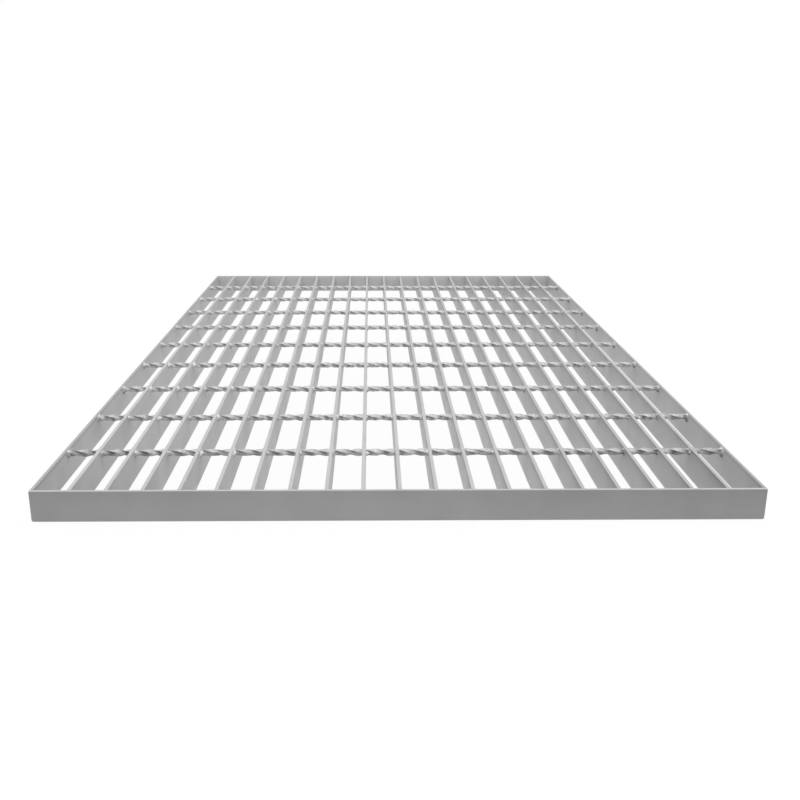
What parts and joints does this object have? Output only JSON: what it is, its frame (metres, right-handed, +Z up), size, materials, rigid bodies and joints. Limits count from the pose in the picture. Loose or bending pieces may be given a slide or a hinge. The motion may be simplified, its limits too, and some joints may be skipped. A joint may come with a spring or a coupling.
{
  "type": "steel grating panel",
  "caption": "Galvanised steel floor grating: flat bearing bars on edge, twisted square cross rods welded into their tops, flat bands on all four sides.",
  "frame": {"origin": "middle of the underside, on the floor that the panel lies on", "axes": "+X across the width along the cross rods, +Y along the bearing bars, +Z up towards the walking face"},
  "size_m": [0.603, 0.995, 0.027],
  "materials": {
    "galvanised_mat": "hot-dip galvanised, satin",
    "galvanised_band": "hot-dip galvanised, satin"
  },
  "bodies": {
    "root": {"bar_mat": "galvanised_mat", "front_band": "galvanised_band", "back_band": "galvanised_band", "left_band": "galvanised_band", "right_band": "galvanised_band"}
  },
  "joints": []
}
